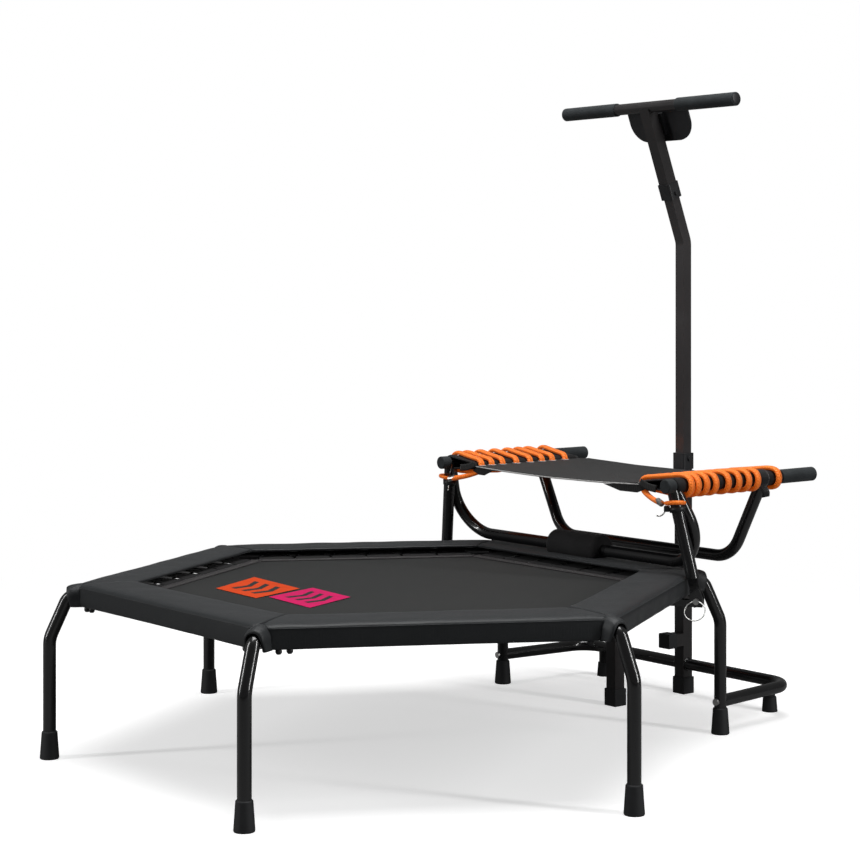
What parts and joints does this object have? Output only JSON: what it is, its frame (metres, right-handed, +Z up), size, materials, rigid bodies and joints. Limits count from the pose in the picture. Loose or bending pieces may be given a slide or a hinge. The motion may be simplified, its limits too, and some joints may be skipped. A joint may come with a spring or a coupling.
{
  "type": "mini trampoline with step and T-bar",
  "caption": "Hexagonal indoor fitness trampoline with elastic suspension, padded rim, bent tube legs, a height-adjustable T-bar and a laced bungee step at the rear.",
  "frame": {"origin": "on the floor under the centre of the hexagonal jumping mat", "axes": "+Z up, +Y towards the rear side with the step and the T-bar, +X to the right of a person who faces the T-bar"},
  "size_m": [1.402, 1.4736, 1.3414],
  "materials": {
    "gloss_frame": "gloss black powder coat",
    "satin_black_metal": "satin black powder coat",
    "zinc": "bright zinc plate",
    "black_rubber": "matt moulded rubber",
    "black_plastic": "fine moulded grain",
    "foam_grip": "matt foam",
    "foam_roll": "matt closed-cell foam",
    "mat_weave": "woven polypropylene, charcoal",
    "elastic": "woven elastic band",
    "pad_vinyl": "soft coated fabric",
    "step_fabric": "tight black weave",
    "cover_fabric": "black woven sleeve",
    "orange_cord": "braided elastic cord"
  },
  "bodies": {
    "frame": {"base_bolts": "zinc", "base_feet": "black_rubber", "base_frame": "gloss_frame", "corner_connectors": "satin_black_metal", "elastic_loops": "elastic", "foam_roll": "foam_roll", "front_hoop": "gloss_frame", "lacing_crimps": "zinc", "lacing_left": "orange_cord", "lacing_right": "orange_cord", "leg_bolts": "zinc", "leg_front_left": "gloss_frame", "leg_front_right": "gloss_frame", "leg_left": "gloss_frame", "leg_rear_left": "gloss_frame", "leg_rear_right": "gloss_frame", "leg_right": "gloss_frame", "leg_tips": "black_rubber", "lower_clamp": "black_plastic", "lower_clamp_screw": "black_plastic", "mat_rods": "zinc", "post_stub_cap": "black_rubber", "rail_bracket_left": "gloss_frame", "rail_bracket_right": "gloss_frame", "rail_front": "gloss_frame", "rail_front_left": "gloss_frame", "rail_front_right": "gloss_frame", "rail_rear": "gloss_frame", "rail_rear_left": "gloss_frame", "rail_rear_right": "gloss_frame", "rear_hoop": "gloss_frame", "rim_pad": "pad_vinyl", "step_bar_caps": "foam_grip", "step_bar_left": "gloss_frame", "step_bar_right": "gloss_frame", "step_cover_left": "cover_fabric", "step_cover_right": "cover_fabric", "step_grip_left": "foam_grip", "step_grip_right": "foam_grip", "step_mat": "step_fabric", "step_upright_left": "gloss_frame", "step_upright_right": "gloss_frame", "support_post": "satin_black_metal", "support_post_foot": "black_rubber", "support_saddle": "black_rubber", "tbar_post": "satin_black_metal", "tbar_post_foot": "black_rubber"},
    "jumping_surface": {"jumping_mat": "mat_weave"},
    "mast": {"mast": "satin_black_metal"},
    "t_bar": {"tbar_stem": "satin_black_metal", "handlebar": "satin_black_metal", "handlebar_grip_left": "foam_grip", "handlebar_grip_right": "foam_grip", "console_plate": "black_plastic", "upper_clamp": "black_plastic", "upper_clamp_screw": "black_plastic"},
    "pin_left": {"lynch_pin_left": "zinc"},
    "pin_right": {"lynch_pin_right": "zinc"},
    "ring_left": {"pin_ring_left": "zinc"},
    "ring_right": {"pin_ring_right": "zinc"}
  },
  "joints": [
    {"name": "mat_bounce", "type": "slide", "parent": "frame", "child": "jumping_surface", "axis": [0, 0, 1], "range_m": [-0.08, 0], "stiffness_N_per_m": 4000, "springref_m": 0.004},
    {"name": "mast_height", "type": "slide", "parent": "frame", "child": "mast", "axis": [0, 0, 1], "range_m": [-0.16, 0.15]},
    {"name": "t_bar_height", "type": "slide", "parent": "mast", "child": "t_bar", "axis": [0, -0.36, 0.933], "range_m": [-0.05, 0.06]},
    {"name": "lynch_pin_right_pull", "type": "slide", "parent": "frame", "child": "pin_right", "axis": [0.5, -0.866, 0], "range_m": [0, 0.05]},
    {"name": "lynch_pin_left_pull", "type": "slide", "parent": "frame", "child": "pin_left", "axis": [-0.5, -0.866, 0], "range_m": [0, 0.05]},
    {"name": "pin_ring_right_swing", "type": "hinge", "parent": "pin_right", "child": "ring_right", "pos_m": [0.40347, 0.45205, 0.294], "axis": [0.866, 0.5, 0], "range_deg": [-100, 35]},
    {"name": "pin_ring_left_swing", "type": "hinge", "parent": "pin_left", "child": "ring_left", "pos_m": [-0.40347, 0.45205, 0.294], "axis": [-0.866, 0.5, 0], "range_deg": [-35, 100]}
  ]
}
